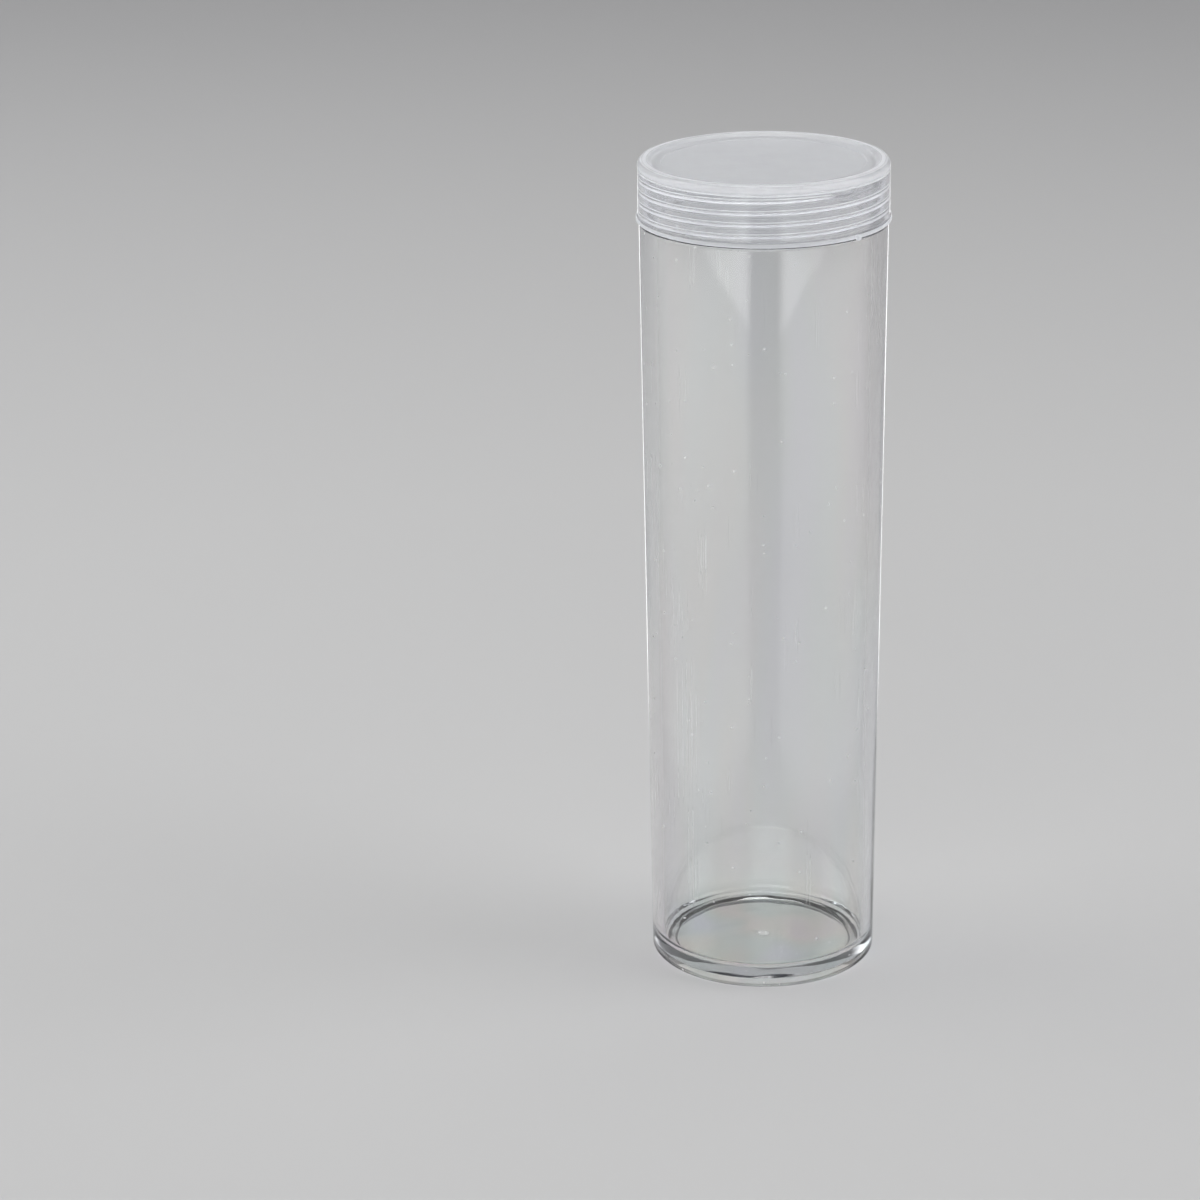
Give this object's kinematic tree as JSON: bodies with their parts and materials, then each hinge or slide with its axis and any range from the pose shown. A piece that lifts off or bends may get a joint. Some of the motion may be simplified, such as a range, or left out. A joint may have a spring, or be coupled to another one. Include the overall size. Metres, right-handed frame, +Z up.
{
  "type": "coin tube",
  "caption": "Clear round tube that keeps a roll of small coins, with a rounded foot, a threaded neck and a milky screw cap.",
  "frame": {"origin": "centre of the foot ring, on the plane the tube stands on", "axes": "+Z up along the tube's axis towards the cap; the cap's gate nub lies 44 degrees from +X towards -Y"},
  "size_m": [0.024, 0.024, 0.08],
  "materials": {
    "clear_polystyrene": "crystal clear, polished, with fine handling scratches",
    "milky_polyethylene": "milky and translucent, satin, so the inside thread shows through"
  },
  "bodies": {
    "tube": {"tube": "clear_polystyrene"},
    "cap": {"cap": "milky_polyethylene"}
  },
  "joints": [
    {"name": "cap_lift", "type": "slide", "parent": "tube", "child": "cap", "axis": [0, 0, 1], "range_m": [0, 0.03]}
  ]
}
